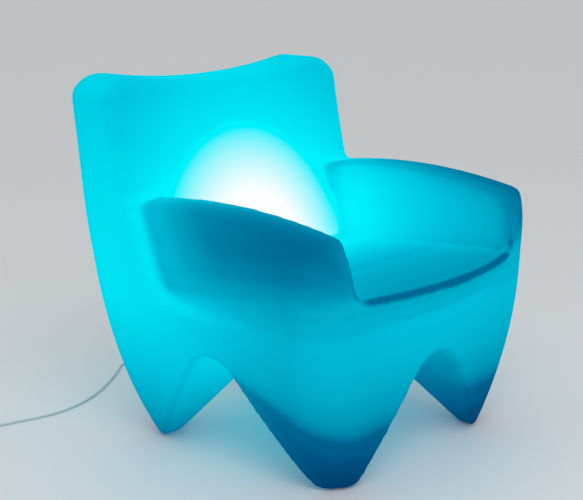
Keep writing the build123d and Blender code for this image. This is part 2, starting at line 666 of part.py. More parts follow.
with BuildPart() as cord_sleeve:
    revolve(turned(((DOME_END_Y, CORD_HOLE), (DOME_END_Y, SLEEVE_RADIUS), (SLEEVE_END_Y, SLEEVE_END_RADIUS),
                    (SLEEVE_END_Y, CORD_HOLE)), GLAND_HEIGHT), axis=GLAND_AXIS)
finish(cord_sleeve, "cord_sleeve")

# Lead inside the chair: through the gland, then two cores up into the holder
lead_end_y = HOLDER_BACK_Y - CORE_LEAD
with BuildPart() as inner_lead:
    with BuildSketch(rear_plane(lead_end_y, z=GLAND_HEIGHT)):
        Circle(CORD_RADIUS)
    extrude(amount=SLEEVE_END_Y - lead_end_y)
finish(inner_lead, "inner_lead")

with BuildPart() as lead_cores:
    for x in (-CORE_SPREAD, CORE_SPREAD):
        with BuildLine() as core_path:
            bend_y = terminal_y + CORE_BEND
            run_in = Line((x, lead_end_y, GLAND_HEIGHT), (x, bend_y, GLAND_HEIGHT))
            bend = TangentArc(run_in @ 1, (x, terminal_y, GLAND_HEIGHT + CORE_BEND), tangent=run_in % 1)
            Line(bend @ 1, (x, terminal_y, terminal_top))
        with BuildSketch(rear_plane(lead_end_y, x, GLAND_HEIGHT)):
            Circle(CORE_RADIUS)
        sweep(path=core_path.line)
finish(lead_cores, "lead_cores")


def corner_radii(points):
    """Radius at each inner point of a route, from the shorter run beside it and its turn."""
    radii = []
    for before, here, after in zip(points, points[1:], points[2:]):
        arriving, leaving = Vector(*here) - Vector(*before), Vector(*after) - Vector(*here)
        half_turn = radians(arriving.get_angle(leaving) / 2)
        radii.append(ROUND_SHARE * min(arriving.length, leaving.length) / tan(half_turn))
    return radii


def report_route(name, points, tube, length):
    runs = [(Vector(*b) - Vector(*a)).length for a, b in zip(points, points[1:])]
    radii = corner_radii(points)
    print(name, "length", round(length), "runs", [round(run) for run in runs])
    print(name, "radii", [round(radius) for radius in radii], "least", round(min(radii), 1))
    section = pi * CORD_RADIUS ** 2
    print(name, "volume over section times length", round(tube.volume / (section * length), 5))


# Cord: from the bend sleeve down the back, round behind the chair and away to the left
CORD_POINTS = [
    (0, SLEEVE_END_Y, GLAND_HEIGHT),
    (0, SLEEVE_END_Y + 30, GLAND_HEIGHT),
    (3, SLEEVE_END_Y + 60, 322),
    (8, SLEEVE_END_Y + 76, 276),
    (10, SLEEVE_END_Y + 79, 220),
    (13, 475, 162),
    (17, 484, 108),
    (23, 501, 62),
    (31, 530, 24),
    (40, 570, CORD_FLOOR),
    (46, 618, CORD_FLOOR),
    (22, 656, CORD_FLOOR),
    (-22, 650, CORD_FLOOR),
    (-56, 622, CORD_FLOOR),
    (-98, 593, CORD_FLOOR),
    (-146, 564, CORD_FLOOR),
    (-192, 538, CORD_FLOOR),
    (-240, 519, CORD_FLOOR),
    (-290, 505, CORD_FLOOR),
    (-345, 500, CORD_FLOOR),
    (-397, 509, CORD_FLOOR),
    (-447, 526, CORD_FLOOR),
    (-493, 540, CORD_FLOOR),
    (SWITCH_X + SWITCH_LENGTH / 2 + SWITCH_RUN_IN, SWITCH_Y, SWITCH_CORD_Z),
    (SWITCH_X + SWITCH_LENGTH / 2, SWITCH_Y, SWITCH_CORD_Z),
]
with BuildPart() as cord_stretch:
    with BuildLine() as cord_path:
        FilletPolyline(*CORD_POINTS, radius=corner_radii(CORD_POINTS))
    with BuildSketch(rear_plane(SLEEVE_END_Y, z=GLAND_HEIGHT)):
        Circle(CORD_RADIUS)
    sweep(path=cord_path.line)
finish(cord_stretch, "cord_stretch")
report_route("cord_stretch", CORD_POINTS, cord_stretch.part, cord_path.wire().length)

# Coil: lead-in from the switch, two layers of loops, and a tail to the plug
COIL_LEAD_IN = [
    (SWITCH_X - SWITCH_LENGTH / 2, SWITCH_Y, SWITCH_CORD_Z),
    (SWITCH_X - SWITCH_LENGTH / 2 - COIL_RUN_OUT, SWITCH_Y, SWITCH_CORD_Z),
    (SWITCH_X - SWITCH_LENGTH / 2 - COIL_RUN_DOWN, SWITCH_Y, CORD_FLOOR),
    (COIL_X, SWITCH_Y, CORD_FLOOR),
]
with BuildPart() as cord_coil:
    with BuildLine() as coil_path:
        lead_in = FilletPolyline(*COIL_LEAD_IN, radius=corner_radii(COIL_LEAD_IN))
        radii_in = [COIL_OUTER_RADIUS - COIL_STEP * turn for turn in range(COIL_HALF_TURNS)]
        y, z, side = SWITCH_Y, CORD_FLOOR, -1
        for radius in radii_in:
            far = y - side * 2 * radius
            RadiusArc((COIL_X, y, z), (COIL_X + side * radius, (y + far) / 2, z), radius)
            RadiusArc((COIL_X + side * radius, (y + far) / 2, z), (COIL_X, far, z), radius)
            y, side = far, -side
        climb = Vector(0, -2 * (radii_in[-1] - COIL_STEP), COIL_LAYER)
        start = Vector(COIL_X, y, z)
        joint = start + climb / 2 + Vector(side * climb.length / 2, 0, 0)
        rise = TangentArc(start, joint, tangent=(side, 0, 0))
        TangentArc(joint, start + climb, tangent=rise % 1)
        y, z, side = (start + climb).Y, z + COIL_LAYER, -side
        for radius in reversed(radii_in):
            far = y - side * 2 * radius
            RadiusArc((COIL_X, y, z), (COIL_X + side * radius, (y + far) / 2, z), radius)
            RadiusArc((COIL_X + side * radius, (y + far) / 2, z), (COIL_X, far, z), radius)
            y, side = far, -side
        tail = [(COIL_X, y, z), (COIL_X + PLUG_RUN_IN, y, z), (PLUG_X - PLUG_RUN_IN, y, PLUG_AXIS_Z),
                (PLUG_X, y, PLUG_AXIS_Z)]
        FilletPolyline(*tail, radius=corner_radii(tail))
        plug_y = y
    with BuildSketch(Plane(origin=COIL_LEAD_IN[0], x_dir=(0, 1, 0), z_dir=(-1, 0, 0))):
        Circle(CORD_RADIUS)
    sweep(path=coil_path.line)
finish(cord_coil, "cord_coil")
coil_wire = coil_path.wire()
coil_length = coil_wire.length
steps = int(coil_length / COIL_SAMPLE)
samples = [coil_wire @ (step / steps) for step in range(steps + 1)]
apart = int(6 * CORD_RADIUS / COIL_SAMPLE) + 2
least = min((a - b).length for i, a in enumerate(samples) for b in samples[i + apart:])
print("cord_coil length", round(coil_length), "least gap to itself", round(least - 2 * CORD_RADIUS, 2))
section = pi * CORD_RADIUS ** 2
print("cord_coil volume over section times length", round(cord_coil.part.volume / (section * coil_length), 5))
print("whole lead", round(coil_length + cord_path.wire().length + SWITCH_LENGTH + SLEEVE_END_Y - lead_end_y))


def switch_plane(z):
    return Plane(origin=(SWITCH_X, SWITCH_Y, z), z_dir=(0, 0, 1))


# In-line switch: two halves screwed together, with a rocker on two trunnions
inner_length, inner_width = SWITCH_LENGTH - 2 * SWITCH_WALL, SWITCH_WIDTH - 2 * SWITCH_WALL
cheek_y = ROCKER_WIDTH / 2 + RUNNING_GAP
with BuildPart() as switch_base:
    with BuildSketch(switch_plane(0)):
        RectangleRounded(SWITCH_LENGTH, SWITCH_WIDTH, SWITCH_CORNER)
    extrude(amount=SWITCH_SPLIT)
    chamfer(switch_base.edges().group_by(Axis.Z)[0], SWITCH_WALL / 3)
    with BuildSketch(switch_plane(SWITCH_WALL)):
        RectangleRounded(inner_length, inner_width, SWITCH_CORNER - SWITCH_WALL)
    extrude(amount=SWITCH_SPLIT, mode=Mode.SUBTRACT)
    with BuildSketch(switch_plane(SWITCH_WALL)):
        with Locations((-SWITCH_SCREW_X, 0), (SWITCH_SCREW_X, 0)):
            Circle(SWITCH_BOSS_RADIUS)
    extrude(amount=SWITCH_SPLIT - SWITCH_WALL)
    with BuildSketch(switch_plane(SWITCH_WALL)):
        with Locations((0, cheek_y + CHEEK_THICK / 2), (0, -cheek_y - CHEEK_THICK / 2)):
            Rectangle(2 * TRUNNION_RADIUS - 4 * FIT, CHEEK_THICK)
    extrude(amount=ROCKER_PIVOT_Z - TRUNNION_RADIUS - FIT - SWITCH_WALL)
    with BuildSketch(switch_plane(0)):
        with Locations((-SWITCH_SCREW_X, 0), (SWITCH_SCREW_X, 0)):
            Circle(SWITCH_SCREW_RADIUS + FIT)
    extrude(amount=SWITCH_SPLIT, mode=Mode.SUBTRACT)
    with BuildSketch(switch_plane(0)):
        with Locations((-SWITCH_SCREW_X, 0), (SWITCH_SCREW_X, 0)):
            Circle(SWITCH_SCREW_HEAD + FIT)
    extrude(amount=2 * SWITCH_HEAD_HEIGHT, mode=Mode.SUBTRACT)
finish(switch_base, "switch_base")

rocker_reach = hypot(ROCKER_LENGTH / 2, ROCKER_RISE) + RUNNING_GAP
with BuildPart() as switch_top:
    roof = SWITCH_HEIGHT - SWITCH_WALL
    with BuildSketch(switch_plane(SWITCH_SPLIT)):
        RectangleRounded(SWITCH_LENGTH, SWITCH_WIDTH, SWITCH_CORNER)
    extrude(amount=SWITCH_HEIGHT - SWITCH_SPLIT)
    fillet(switch_top.edges().group_by(Axis.Z)[-1], SWITCH_ROUND)
    with BuildSketch(switch_plane(SWITCH_SPLIT)):
        RectangleRounded(inner_length, inner_width, SWITCH_CORNER - SWITCH_WALL)
    extrude(amount=roof - SWITCH_SPLIT, mode=Mode.SUBTRACT)
    with BuildSketch(switch_plane(roof - CHEEK_DROP)):
        with Locations((0, cheek_y + CHEEK_THICK / 2), (0, -cheek_y - CHEEK_THICK / 2)):
            Rectangle(2 * CHEEK_HALF, CHEEK_THICK)
    extrude(amount=CHEEK_DROP)
    with BuildSketch(switch_plane(SWITCH_SPLIT)):
        with Locations((-SWITCH_SCREW_X, 0), (SWITCH_SCREW_X, 0)):
            Circle(SWITCH_BOSS_RADIUS)
    extrude(amount=roof - SWITCH_SPLIT)
    with BuildSketch(switch_plane(SWITCH_SPLIT)):
        Rectangle(2 * rocker_reach, ROCKER_WIDTH + 2 * RUNNING_GAP)
    extrude(amount=SWITCH_HEIGHT, mode=Mode.SUBTRACT)
    slot_radius = TRUNNION_RADIUS + TRUNNION_CLEARANCE
    with BuildSketch(Plane(origin=(SWITCH_X, SWITCH_Y, ROCKER_PIVOT_Z), x_dir=(1, 0, 0), z_dir=(0, -1, 0))):
        Circle(slot_radius)
        with Locations((0, -CHEEK_DROP / 2)):
            Rectangle(2 * slot_radius, CHEEK_DROP)
    extrude(amount=cheek_y + CHEEK_THICK, both=True, mode=Mode.SUBTRACT)
    with BuildSketch(switch_plane(SWITCH_SPLIT)):
        with Locations((-SWITCH_SCREW_X, 0), (SWITCH_SCREW_X, 0)):
            Circle(SWITCH_SCREW_RADIUS + FIT)
    extrude(amount=2 * SWITCH_HEAD_HEIGHT + SWITCH_SCREW_LENGTH - SWITCH_SPLIT, mode=Mode.SUBTRACT)
finish(switch_top, "switch_top")

with BuildPart() as switch_rocker:
    with BuildSketch(Plane(origin=(SWITCH_X, SWITCH_Y, ROCKER_PIVOT_Z), x_dir=(1, 0, 0), z_dir=(0, -1, 0))):
        with BuildLine():
            half_rocker = ROCKER_LENGTH / 2
            crest = ThreePointArc((-half_rocker, ROCKER_RISE), (0, ROCKER_DIP), (half_rocker, ROCKER_RISE))
            Polyline(crest @ 1, (half_rocker, -ROCKER_DEPTH / 2), (half_rocker / 2, -ROCKER_DEPTH),
                     (-half_rocker / 2, -ROCKER_DEPTH), (-half_rocker, -ROCKER_DEPTH / 2), crest @ 0)
        make_face()
    extrude(amount=ROCKER_WIDTH / 2, both=True)
    with BuildSketch(Plane(origin=(SWITCH_X, SWITCH_Y, ROCKER_PIVOT_Z), x_dir=(1, 0, 0), z_dir=(0, -1, 0))):
        Circle(TRUNNION_RADIUS)
    extrude(amount=ROCKER_WIDTH / 2 + TRUNNION_LENGTH, both=True)
switch_rocker.part = switch_rocker.part.rotate(
    Axis((SWITCH_X, SWITCH_Y, ROCKER_PIVOT_Z), (0, 1, 0)), ROCKER_TILT)
finish(switch_rocker, "switch_rocker")

with BuildPart() as switch_contacts:
    with BuildSketch(switch_plane(SWITCH_WALL)):
        with Locations((-CONTACT_X, 0), (CONTACT_X, 0)):
            Rectangle(CONTACT_SIZE[0], CONTACT_SIZE[1])
    extrude(amount=CONTACT_SIZE[2])
finish(switch_contacts, "switch_contacts")

with BuildPart() as switch_screws:
    with BuildSketch(switch_plane(SWITCH_HEAD_HEIGHT)):
        with Locations((-SWITCH_SCREW_X, 0), (SWITCH_SCREW_X, 0)):
            Circle(SWITCH_SCREW_HEAD)
    extrude(amount=SWITCH_HEAD_HEIGHT)
    with BuildSketch(switch_plane(2 * SWITCH_HEAD_HEIGHT)):
        with Locations((-SWITCH_SCREW_X, 0), (SWITCH_SCREW_X, 0)):
            Circle(SWITCH_SCREW_RADIUS)
    extrude(amount=SWITCH_SCREW_LENGTH - FIT)
finish(switch_screws, "switch_screws")


def plug_plane(x):
    return Plane(origin=(x, plug_y, PLUG_AXIS_Z), x_dir=(0, 1, 0), z_dir=(1, 0, 0))


# Plug: a neck that widens into the grip, with two round pins
grip_x = PLUG_X + PLUG_NECK_LENGTH
with BuildPart() as plug_body:
    with BuildSketch(plug_plane(PLUG_X)):
        Circle(PLUG_NECK_RADIUS)
    extrude(amount=PLUG_NECK_LENGTH)
    with BuildSketch(plug_plane(grip_x)):
        RectangleRounded(PLUG_WIDTH, PLUG_HEIGHT, PLUG_CORNER)
    extrude(amount=PLUG_LENGTH)
    chamfer(plug_body.faces().sort_by(Axis.X)[-1].edges(), PLUG_CORNER / 5)
    with BuildSketch(plug_plane(grip_x + PLUG_LENGTH)):
        with Locations((-PIN_SPACING / 2, 0), (PIN_SPACING / 2, 0)):
            Circle(PIN_RADIUS + FIT / 2)
    extrude(amount=-PIN_ROOT, mode=Mode.SUBTRACT)
finish(plug_body, "plug_body")

with BuildPart() as plug_pins:
    with BuildSketch(plug_plane(grip_x + PLUG_LENGTH - PIN_ROOT)):
        with Locations((-PIN_SPACING / 2, 0), (PIN_SPACING / 2, 0)):
            Circle(PIN_RADIUS)
    extrude(amount=PIN_ROOT + PIN_LENGTH)
    fillet(plug_pins.edges().group_by(Axis.X)[-1], PIN_RADIUS / 2)
finish(plug_pins, "plug_pins")
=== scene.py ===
"""Looks of the illuminated armchair: a glowing moulded shell, its lamp, lead, switch and plug."""

from math import cos, pi, radians, sin

import bmesh
import bpy
import numpy as np
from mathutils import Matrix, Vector
from mathutils.bvhtree import BVHTree


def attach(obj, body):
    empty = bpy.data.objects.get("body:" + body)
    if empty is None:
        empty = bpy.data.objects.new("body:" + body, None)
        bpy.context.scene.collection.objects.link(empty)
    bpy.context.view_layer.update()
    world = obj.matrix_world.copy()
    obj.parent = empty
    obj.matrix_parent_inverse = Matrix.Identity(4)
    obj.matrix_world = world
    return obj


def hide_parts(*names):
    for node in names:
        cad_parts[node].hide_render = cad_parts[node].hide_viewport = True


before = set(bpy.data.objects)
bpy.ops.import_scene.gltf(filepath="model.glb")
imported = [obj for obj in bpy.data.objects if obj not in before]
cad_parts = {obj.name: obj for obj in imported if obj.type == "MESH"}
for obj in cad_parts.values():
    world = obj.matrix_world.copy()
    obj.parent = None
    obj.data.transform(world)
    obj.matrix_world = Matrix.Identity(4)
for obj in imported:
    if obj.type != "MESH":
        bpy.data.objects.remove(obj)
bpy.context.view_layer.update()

# Camera, fitted to the photograph's own view
CAMERA_PLACE = (-2.12885, -1.76801, 1.10150)
CAMERA_TURN = -49.164
CAMERA_DROP = 13.902
LENS_MM, SENSOR_MM = 77.945, 36.0

# Lead
LEAD_RADIUS = 0.0025
LEAD_FLOOR = 0.0026
SLEEVE_END_Y = 0.392
GLAND_HEIGHT = 0.343
SWITCH_X, SWITCH_Y, SWITCH_LENGTH, SWITCH_LEAD_Z = -0.577, 0.546, 0.064, 0.007
SWITCH_RUN_IN = 0.020
LEAD_FACETS, LEAD_STEPS = 5, 6

# Coil and plug
COIL_X, COIL_OUTER_RADIUS, COIL_STEP, COIL_HALF_TURNS, COIL_LAYER = -0.668, 0.040, 0.00285, 7, 0.0057
COIL_POINTS = 10
COIL_RUN_OUT, COIL_RUN_DOWN = 0.018, 0.041
COIL_TAIL = 0.015
PLUG_X, PLUG_AXIS_Z = -0.622, 0.0071
PLUG_RUN_IN = 0.015

# Service opening at the rear, where the outer skin is parted from the inside
SERVICE_HEIGHT = 0.385
OPENING_RADIUS, OPENING_MARGIN = 0.068, 0.0015
OPENING_FRONT_Y = 0.25
RIM_MOST_TURN = 0.2
MERGE_DISTANCE = 1e-5

# Shell mesh
VOXEL = 0.005
SMOOTH_PASSES = 13
SMOOTH_SHARE = 0.5

# Light inside the shell: small sources that stand for the bulb and for the bright wall behind it.
# Each gives x, y, z, its radius, its number of points and its strength. One beside the middle is mirrored.
BULB = (0.00, 0.290, 0.385, 0.030, 6, 0.50)
BRIGHT_WALL = (
    (0.10, 0.300, 0.385, 0.020, 2, 0.06),
    (0.18, 0.305, 0.400, 0.020, 2, 0.17),
    (0.26, 0.305, 0.420, 0.020, 2, 0.02),
    (0.00, 0.315, 0.500, 0.020, 3, 0.10),
    (0.14, 0.315, 0.520, 0.020, 2, 0.13),
    (0.00, 0.290, 0.310, 0.020, 3, 0.16),
    (0.15, 0.290, 0.310, 0.020, 2, 0.16),
)
INNER_DEPTH = 0.008
RAY_END = 0.0025
SAMPLE_STEP = 3

# Light that bounces between patches of the shell
WALL_REFLECTS, WALL_PASSES = 0.75, 0.12
PATCH_SIZE = 0.045
PATCH_LEAST = 0.15
PATCH_OFFSET = 0.010
PATCH_RAY_END = 0.002
LEAST_COSINE = 0.02
LEAST_INSIDE_SHARE = 0.5
BOUNCES = 60

# From light to display brightness
DARK_LEVEL = -0.052
DIRECT_GAIN, DIRECT_FULL = 2.3, 0.166
BOUNCE_GAIN, OUTSIDE_GAIN = 0.16, 1.8
LEG_HEIGHT, LEG_END = 0.34, 0.09
GLOW_POWER = 0.25
DARKEST_GLOW, BRIGHTEST_CYAN = 0.18, 0.955
DIRECT_SMOOTHING, BOUNCE_SMOOTHING = 6, 120
LEAST_KNOWN, LEAST_SAMPLED = 0.05, 0.01
SHADOW_EDGE, SHADOW_SPREAD = 0.22, 200

# Edges let less light through
EDGE_SMOOTHING = 5
EDGE_DARKENING, EDGE_FULL = 0.07, 0.060
SEAT_EDGE_DARKENING, SEAT_EDGE_FULL, SEAT_EDGE_POWER = 0.36, 0.051, 4
SEAT_EDGE_SIDE, SEAT_EDGE_TOP, SEAT_EDGE_SMOOTHING = 0.32, 0.438, 8

# The lamp's own bright disc on the front of the backrest
DISC_X, DISC_Z, DISC_RADIUS = -0.006, 0.387, 0.30
DISC_SIDE, DISC_FRONT_Y, DISC_LOW = 0.31, 0.10, 0.36
DISC_LEAST_TURN, DISC_TURN_RANGE = 0.3, 0.3

# Colour of the glow: deep blue, then cyan, then white in the lamp's disc
BLUE_DARK_POWER, BLUE_BRIGHT_POWER = 0.61, 1.4
CYAN_TOP, CYAN_STOPS = 0.945, 14
DISC_START, DISC_WHITE = 0.05, 0.52
EMISSION_SHARE = 0.91
BASE_SHARE = 0.10
SHELL_ROUGHNESS = 0.5

# Other finishes
GRAIN_SCALE, GRAIN_DETAIL = 180, 4
GRAIN_DARKER = 0.92
GRAIN_RANGE = (0.3, 0.7)
BUMP_STRENGTH, BUMP_HEIGHT = 0.08, 0.0004

# Stage
FLOOR_SIZE = 40
FLOOR_COLOUR, FLOOR_ROUGHNESS = (0.78, 0.79, 0.80), 0.6
WORLD_COLOUR, WORLD_STRENGTH = (0.86, 0.87, 0.88), 0.75
KEY_PLACE, KEY_TARGET = (-2.0, -2.5, 3.2), (0, 0, 0.4)
KEY_SIZE, KEY_WATTS = 3, 60


def add_object(name, data):
    made = bpy.data.objects.new(name, data)
    bpy.context.scene.collection.objects.link(made)
    return made


def add_camera():
    data = bpy.data.cameras.new("camera")
    data.lens = LENS_MM
    data.sensor_width = SENSOR_MM
    camera = add_object("camera", data)
    camera.location = CAMERA_PLACE
    camera.rotation_euler = (radians(90 - CAMERA_DROP), 0, radians(CAMERA_TURN))
    bpy.context.scene.camera = camera


def tube_along(name, points, radius):
    """A lead as one smooth curve with these control points, which carry its radius."""
    curve = bpy.data.curves.new(name, "CURVE")
    curve.dimensions = "3D"
    curve.bevel_depth = 1
    curve.bevel_resolution = LEAD_FACETS
    curve.resolution_u = LEAD_STEPS
    curve.use_fill_caps = True
    spline = curve.splines.new("NURBS")
    spline.points.add(len(points) - 1)
    for place, point in zip(spline.points, points):
        place.co = (*point, 1)
        place.radius = radius
    spline.order_u = 3
    spline.use_endpoint_u = True
    return add_object(name, curve)


CORD_POINTS = [
    (0, SLEEVE_END_Y, GLAND_HEIGHT),
    (0, SLEEVE_END_Y + 0.030, GLAND_HEIGHT),
    (0.003, SLEEVE_END_Y + 0.060, 0.322),
    (0.008, SLEEVE_END_Y + 0.076, 0.276),
    (0.010, SLEEVE_END_Y + 0.079, 0.220),
    (0.013, 0.475, 0.162),
    (0.017, 0.484, 0.108),
    (0.023, 0.501, 0.062),
    (0.031, 0.530, 0.024),
    (0.040, 0.570, LEAD_FLOOR),
    (0.046, 0.618, LEAD_FLOOR),
    (0.022, 0.656, LEAD_FLOOR),
    (-0.022, 0.650, LEAD_FLOOR),
    (-0.056, 0.622, LEAD_FLOOR),
    (-0.098, 0.593, LEAD_FLOOR),
    (-0.146, 0.564, LEAD_FLOOR),
    (-0.192, 0.538, LEAD_FLOOR),
    (-0.240, 0.519, LEAD_FLOOR),
    (-0.290, 0.505, LEAD_FLOOR),
    (-0.345, 0.500, LEAD_FLOOR),
    (-0.397, 0.509, LEAD_FLOOR),
    (-0.447, 0.526, LEAD_FLOOR),
    (-0.493, 0.540, LEAD_FLOOR),
    (SWITCH_X + SWITCH_LENGTH / 2 + SWITCH_RUN_IN, SWITCH_Y, SWITCH_LEAD_Z),
    (SWITCH_X + SWITCH_LENGTH / 2, SWITCH_Y, SWITCH_LEAD_Z),
]


def coil_points():
    """Lead-in, two layers of half turns that spiral in and out again, and the tail."""
    end = SWITCH_X - SWITCH_LENGTH / 2
    points = [(end, SWITCH_Y, SWITCH_LEAD_Z), (end - COIL_RUN_OUT, SWITCH_Y, SWITCH_LEAD_Z),
              (end - COIL_RUN_DOWN, SWITCH_Y, LEAD_FLOOR)]
    y, z, side = SWITCH_Y, LEAD_FLOOR, -1
    radii = [COIL_OUTER_RADIUS - COIL_STEP * turn for turn in range(COIL_HALF_TURNS)]
    climb_radius = radii[-1] - COIL_STEP
    step = pi / COIL_POINTS
    for radius in radii + [climb_radius] + radii[::-1]:
        centre_y = y - side * radius
        rise = COIL_LAYER if radius == climb_radius else 0
        for index in range(COIL_POINTS):
            angle = (index + 0.5) * step
            out = radius / cos(step / 2)
            points.append((COIL_X + side * out * sin(angle), centre_y + side * out * cos(angle),
                           z + rise * (index + 0.5) / COIL_POINTS))
        y, z, side = y - side * 2 * radius, z + rise, -side
    points += [(COIL_X + COIL_TAIL, y, z), (PLUG_X - PLUG_RUN_IN, y, PLUG_AXIS_Z), (PLUG_X, y, PLUG_AXIS_Z)]
    return points


def add_leads():
    stretch = tube_along("lead_stretch", CORD_POINTS, LEAD_RADIUS)
    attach(stretch, "chair")
    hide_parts("cord_stretch")
    turns = coil_points()
    coil = tube_along("lead_coil", turns, LEAD_RADIUS)
    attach(coil, "chair")
    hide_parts("cord_coil")
    return stretch, coil


def on_opening_rim(face):
    """True for a face on the bore of the service opening."""
    centre = face.calc_center_median()
    out = (centre.x ** 2 + (centre.z - SERVICE_HEIGHT) ** 2) ** 0.5
    near = centre.y > OPENING_FRONT_Y and abs(out - OPENING_RADIUS) < OPENING_MARGIN
    return near and abs(face.normal.y) < RIM_MOST_TURN


def linked_to(start):
    """Every vertex that edges join to this one."""
    found, waiting = {start}, [start]
    while waiting:
        vertex = waiting.pop()
        for edge in vertex.link_edges:
            other = edge.other_vert(vertex)
            if other not in found:
                found.add(other)
                waiting.append(other)
    return found


def outer_skin(node):
    """Copy of the shell without its inside: the service opening's bore is cut out and the hole is closed."""
    skin = add_object("shell_skin", node.data.copy())
    mesh = bmesh.new()
    mesh.from_mesh(skin.data)
    bmesh.ops.remove_doubles(mesh, verts=mesh.verts, dist=MERGE_DISTANCE)
    bmesh.ops.delete(mesh, geom=[face for face in mesh.faces if on_opening_rim(face)], context="FACES")
    kept = linked_to(min(mesh.verts, key=lambda vertex: vertex.co.z))
    bmesh.ops.delete(mesh, geom=[vertex for vertex in mesh.verts if vertex not in kept], context="VERTS")
    bmesh.ops.holes_fill(mesh, edges=[edge for edge in mesh.edges if edge.is_boundary], sides=0)
    bmesh.ops.recalc_face_normals(mesh, faces=mesh.faces)
    mesh.to_mesh(skin.data)
    mesh.free()
    return skin


def soften(skin):
    """Even voxel mesh with every edge rounded, as the mould leaves it."""
    remesh = skin.modifiers.new("remesh", "REMESH")
    remesh.mode = "VOXEL"
    remesh.voxel_size = VOXEL
    smooth = skin.modifiers.new("smooth", "SMOOTH")
    smooth.factor = SMOOTH_SHARE
    smooth.iterations = SMOOTH_PASSES
    bpy.context.view_layer.objects.active = skin
    for modifier in list(skin.modifiers):
        bpy.ops.object.modifier_apply(modifier=modifier.name)
    skin.data.shade_smooth()


def points_of(sources):
    """Every point of these sources, with its strength."""
    golden = pi * (3 - 5 ** 0.5)
    points = []
    for x, y, z, radius, count, strength in sources:
        sides = sorted({x, -x})
        for centre in sides:
            for index in range(count):
                height = 1 - 2 * (index + 0.5) / count
                ring = radius * (1 - height * height) ** 0.5
                offset = (ring * cos(golden * index), ring * sin(golden * index), radius * height)
                place = (centre + offset[0], y + offset[1], z + offset[2])
                points.append((place, strength / count / len(sides)))
    return points


def direct_light(tree, places, normals, points):
    """Light that reaches the wall's inside straight from these points, and the share of them that it sees."""
    light, seen = np.zeros(len(places)), np.zeros(len(places))
    inner = places - INNER_DEPTH * normals
    for place, strength in points:
        source = Vector(place)
        rays = inner - np.array(place)
        lengths = np.linalg.norm(rays, axis=1)
        facing = np.einsum("ij,ij->i", rays, normals) / lengths
        for index in np.nonzero(facing > 0)[0]:
            if tree.ray_cast(source, Vector(rays[index]), lengths[index] - RAY_END)[0] is None:
                light[index] += strength * facing[index] / (4 * pi * lengths[index] ** 2)
                seen[index] += 1 / len(points)
    return light, seen


def sampled_light(tree, places, normals, edges):
    """Direct light, and the share of the bulb seen, tested at every third vertex and spread to the others."""
    chosen = np.arange(0, len(places), SAMPLE_STEP)
    near, seen = direct_light(tree, places[chosen], normals[chosen], points_of([BULB]))
    rest, _ = direct_light(tree, places[chosen], normals[chosen], points_of(BRIGHT_WALL))
    sampled = np.zeros((3, len(places)))
    sampled[:, chosen] = np.stack([near + rest, seen, np.ones(len(chosen))])
    light, seen, known = [spread(values, edges, DIRECT_SMOOTHING) for values in sampled]
    return light / known.clip(min=LEAST_SAMPLED), seen / known.clip(min=LEAST_SAMPLED)


def group_sums(member, areas, vectors):
    """Area-weighted sum of vectors for each group of vertices."""
    return np.stack([np.bincount(member, areas * vectors[:, axis]) for axis in range(3)], axis=1)


def patches_of(places, normals, areas):
    """Coarse patches of the skin: centres, normals, areas, and each vertex's patch or -1."""
    cells = np.floor(places / PATCH_SIZE).astype(int)
    axis = np.abs(normals).argmax(axis=1)
    ahead = normals[np.arange(len(normals)), axis] > 0
    _, member = np.unique(np.column_stack([cells, axis, ahead]), axis=0, return_inverse=True)
    member = member.ravel()
    total = np.bincount(member, areas)
    centres = group_sums(member, areas, places) / total[:, None]
    facing = group_sums(member, areas, normals)
    facing /= np.linalg.norm(facing, axis=1)[:, None]
    large = total > PATCH_LEAST * PATCH_SIZE ** 2
    number = np.where(large, np.cumsum(large) - 1, -1)
    return centres[large], facing[large], total[large] * total.sum() / total[large].sum(), number[member]


def exchange(tree, centres, normals, areas, side):
    """Share of each patch's light that comes from each other patch, on the inside (-1) or outside (1)."""
    places = centres + side * PATCH_OFFSET * normals
    facing = side * normals
    between = places[None] - places[:, None]
    lengths = np.linalg.norm(between, axis=2).clip(min=PATCH_OFFSET)
    leaving = np.einsum("ijk,ik->ij", between, facing) / lengths
    arriving = -np.einsum("ijk,jk->ij", between, facing) / lengths
    facing_pairs = (leaving > LEAST_COSINE) & (arriving > LEAST_COSINE) & (lengths > 2 * PATCH_OFFSET)
    lit_areas = pi * lengths ** 2 + (areas[None] + areas[:, None]) / 2
    shares = np.where(facing_pairs, leaving * arriving / lit_areas, 0)
    seen = np.zeros(facing_pairs.shape, bool)
    starts = [Vector(place) for place in places]
    first, second = np.nonzero(np.triu(facing_pairs))
    for i, j in zip(first.tolist(), second.tolist()):
        ray = starts[j] - starts[i]
        seen[i, j] = tree.ray_cast(starts[i], ray, ray.length - PATCH_RAY_END)[0] is None
    return shares * (seen | seen.T) * areas[None]


def bounced_light(tree, places, normals, areas):
    """For each vertex: light bounced inside, light that lands outside, and 1 where a patch covers it."""
    centres, facing, sizes, member = patches_of(places, normals, areas)
    inside = exchange(tree, centres, facing, sizes, -1)
    inside /= inside.sum(axis=1).clip(min=LEAST_INSIDE_SHARE)[:, None]
    outside = exchange(tree, centres, facing, sizes, 1)
    direct, _ = direct_light(tree, centres, facing, points_of([BULB, *BRIGHT_WALL]))
    inner, outer = direct.copy(), np.zeros(len(direct))
    for _ in range(BOUNCES):
        inner, outer = (direct + inside @ (WALL_REFLECTS * inner + WALL_PASSES * outer),
                        outside @ (WALL_PASSES * inner + WALL_REFLECTS * outer))
    known = member >= 0
    return [np.where(known, values[member], 0) for values in (inner - direct, outer)] + [known.astype(float)]


